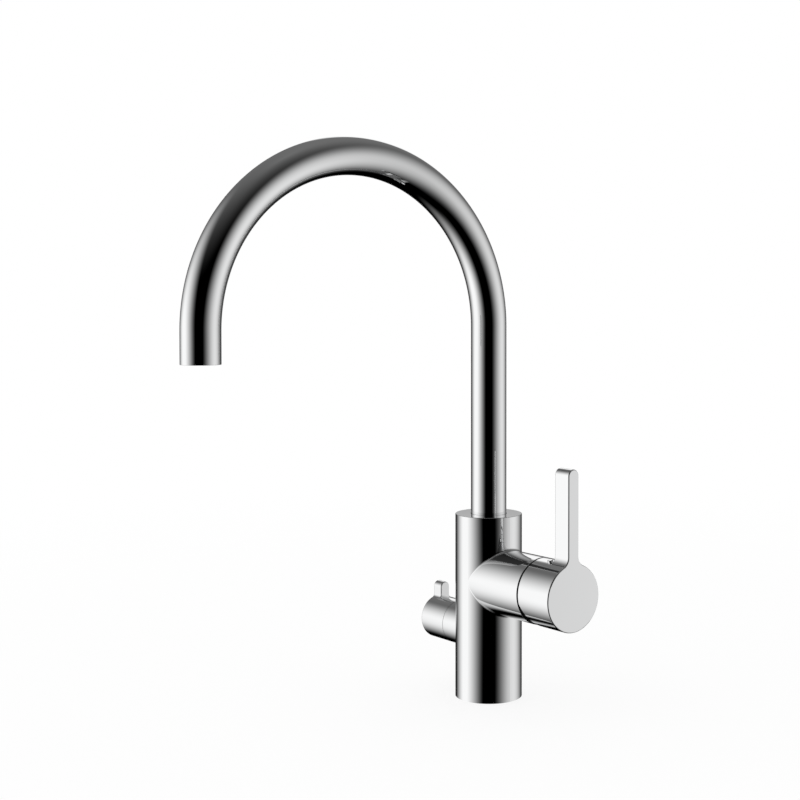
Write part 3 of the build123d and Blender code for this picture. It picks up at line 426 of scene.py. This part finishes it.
def back_light(nodes, away, rise):
    """Narrow light behind the tap, just above the horizon."""
    share = nodes.math("MULTIPLY", nodes.smooth(away, *BACK_TURN), nodes.smooth(rise, *BACK_RISE_IN))
    share = nodes.math("MULTIPLY", share, nodes.smooth(rise, *BACK_RISE_OUT))
    return nodes.math("MULTIPLY", share, BACK_STRENGTH)


def ceiling_light(nodes, away, rise):
    """Dim ceiling: it brightens slowly over the camera and reaches further down behind the tap."""
    height = nodes.math("SUBTRACT", rise, CEILING_FRONT_FROM)
    height = nodes.math("DIVIDE", height, CEILING_FRONT_SPAN)
    height = nodes.math("POWER", nodes.math("MAXIMUM", height, 0.0), CEILING_FRONT_POWER)
    front = nodes.math("MULTIPLY", height, CEILING_STRENGTH)
    back = nodes.smooth(rise, *CEILING_BACK_RISE, 0.0, CEILING_STRENGTH)
    behind = nodes.smooth(away, *CEILING_TURN)
    front = nodes.math("MULTIPLY", front, nodes.math("SUBTRACT", 1.0, behind))
    return nodes.math("ADD", front, nodes.math("MULTIPLY", back, behind))


def light_share(nodes, turn, rise):
    """Share of the white surround that the cards let through, by turn from the picture's side and by rise."""
    away = nodes.math("ABSOLUTE", turn)
    is_left = nodes.math("LESS_THAN", turn, 0.0)
    left = nodes.math("MULTIPLY", side_light(nodes, away, rise, **LEFT_OPENING), is_left)
    is_right = nodes.math("SUBTRACT", 1.0, is_left)
    right = nodes.math("MULTIPLY", side_light(nodes, away, rise, **RIGHT_OPENING), is_right)
    total = nodes.math("ADD", nodes.math("ADD", left, right), back_light(nodes, away, rise))
    return nodes.math("ADD", total, ceiling_light(nodes, away, rise), clamp=True)


def make_cards():
    """Black cards round the object: seen in metal only, with the white surround in their soft openings."""
    bpy.ops.mesh.primitive_uv_sphere_add(segments=CARDS_SEGMENTS, ring_count=CARDS_RINGS,
                                         radius=CARDS_R, location=CARDS_MIDDLE)
    cards = bpy.context.object
    cards.name = "studio_cards"
    cards.rotation_euler = (0.0, 0.0, math.radians(PICTURE_AZIMUTH_DEG))
    material, nodes = new_material("card_black")
    aim = nodes.add("ShaderNodeVectorMath", operation="NORMALIZE")
    nodes.link(nodes.object_place(), aim.inputs[0])
    split = nodes.add("ShaderNodeSeparateXYZ")
    nodes.link(aim.outputs[0], split.inputs[0])
    x, y, z = split.outputs
    turn = nodes.math("DEGREES", nodes.math("ARCTAN2", x, nodes.math("MULTIPLY", y, -1.0)))
    rise = nodes.math("DEGREES", nodes.math("ARCSINE", z))
    card = nodes.add("ShaderNodeEmission")
    card.inputs["Color"].default_value = BLACK
    clear = nodes.add("ShaderNodeBsdfTransparent")
    share = light_share(nodes, turn, rise)
    nodes.surface(nodes.blend(share, card.outputs[0], clear.outputs[0]))
    cards.data.materials.append(material)
    only_for(cards, glossy=True)


def make_floor():
    """White floor that keeps the tap's shadow, fades into the surround, and is clear from below."""
    bpy.ops.mesh.primitive_plane_add(size=2 * FLOOR_HALF, location=(0, 0, 0))
    floor = bpy.context.object
    floor.name = "studio_floor"
    material, nodes = new_material("pale_floor")
    place = nodes.object_place()
    matt = nodes.add("ShaderNodeBsdfDiffuse")
    tone = nodes.noise(place, FLOOR_TONE_SCALE, detail=2.0)
    nodes.link(nodes.tones(tone, FLOOR_TONES), matt.inputs["Color"])
    glow = nodes.add("ShaderNodeEmission")
    camera_ray = nodes.add("ShaderNodeLightPath").outputs["Is Camera Ray"]
    glow_share = nodes.math("MULTIPLY", camera_ray, FLOOR_GLOW)
    lifted = nodes.blend(glow_share, matt.outputs[0], glow.outputs[0])
    length = nodes.add("ShaderNodeVectorMath", operation="LENGTH")
    nodes.link(place, length.inputs[0])
    far_off = nodes.smooth(length.outputs["Value"], *FLOOR_FADE)
    underside = nodes.add("ShaderNodeNewGeometry").outputs["Backfacing"]
    clear = nodes.add("ShaderNodeBsdfTransparent")
    clear_share = nodes.math("MAXIMUM", far_off, underside)
    nodes.surface(nodes.blend(clear_share, lifted, clear.outputs[0]))
    floor.data.materials.append(material)
    only_for(floor, camera=True, diffuse=True, shadow=True)


def make_key():
    """Soft lamp that gives the floor its faint shadow. Metal doesn't show it."""
    data = bpy.data.lights.new("soft_key", "AREA")
    data.shape = "DISK"
    data.size = KEY_SIZE
    data.energy = KEY_WATTS
    key = bpy.data.objects.new("soft_key", data)
    bpy.context.scene.collection.objects.link(key)
    key.location = KEY_PLACE
    key.rotation_euler = (Vector(KEY_AIM) - key.location).to_track_quat("-Z", "Y").to_euler()
    key.visible_glossy = False


def make_camera():
    data = bpy.data.cameras.new("picture_camera")
    data.sensor_width = CAMERA_SENSOR_MM
    data.lens = CAMERA_LENS_MM
    data.shift_x, data.shift_y = CAMERA_SHIFT
    camera = bpy.data.objects.new("picture_camera", data)
    bpy.context.scene.collection.objects.link(camera)
    camera.location = CAMERA_PLACE
    camera.rotation_euler = [math.radians(a) for a in CAMERA_TURN_DEG]
    bpy.context.scene.camera = camera


# ---------------------------------------------------------------- build the scene
clear_scene()
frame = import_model()

make_camera()
make_world()
make_cards()
make_floor()
make_key()
materials = make_materials()
dress(frame, materials)
make_spout_tube(materials["chrome"])

bpy.context.scene.view_settings.view_transform = "Standard"
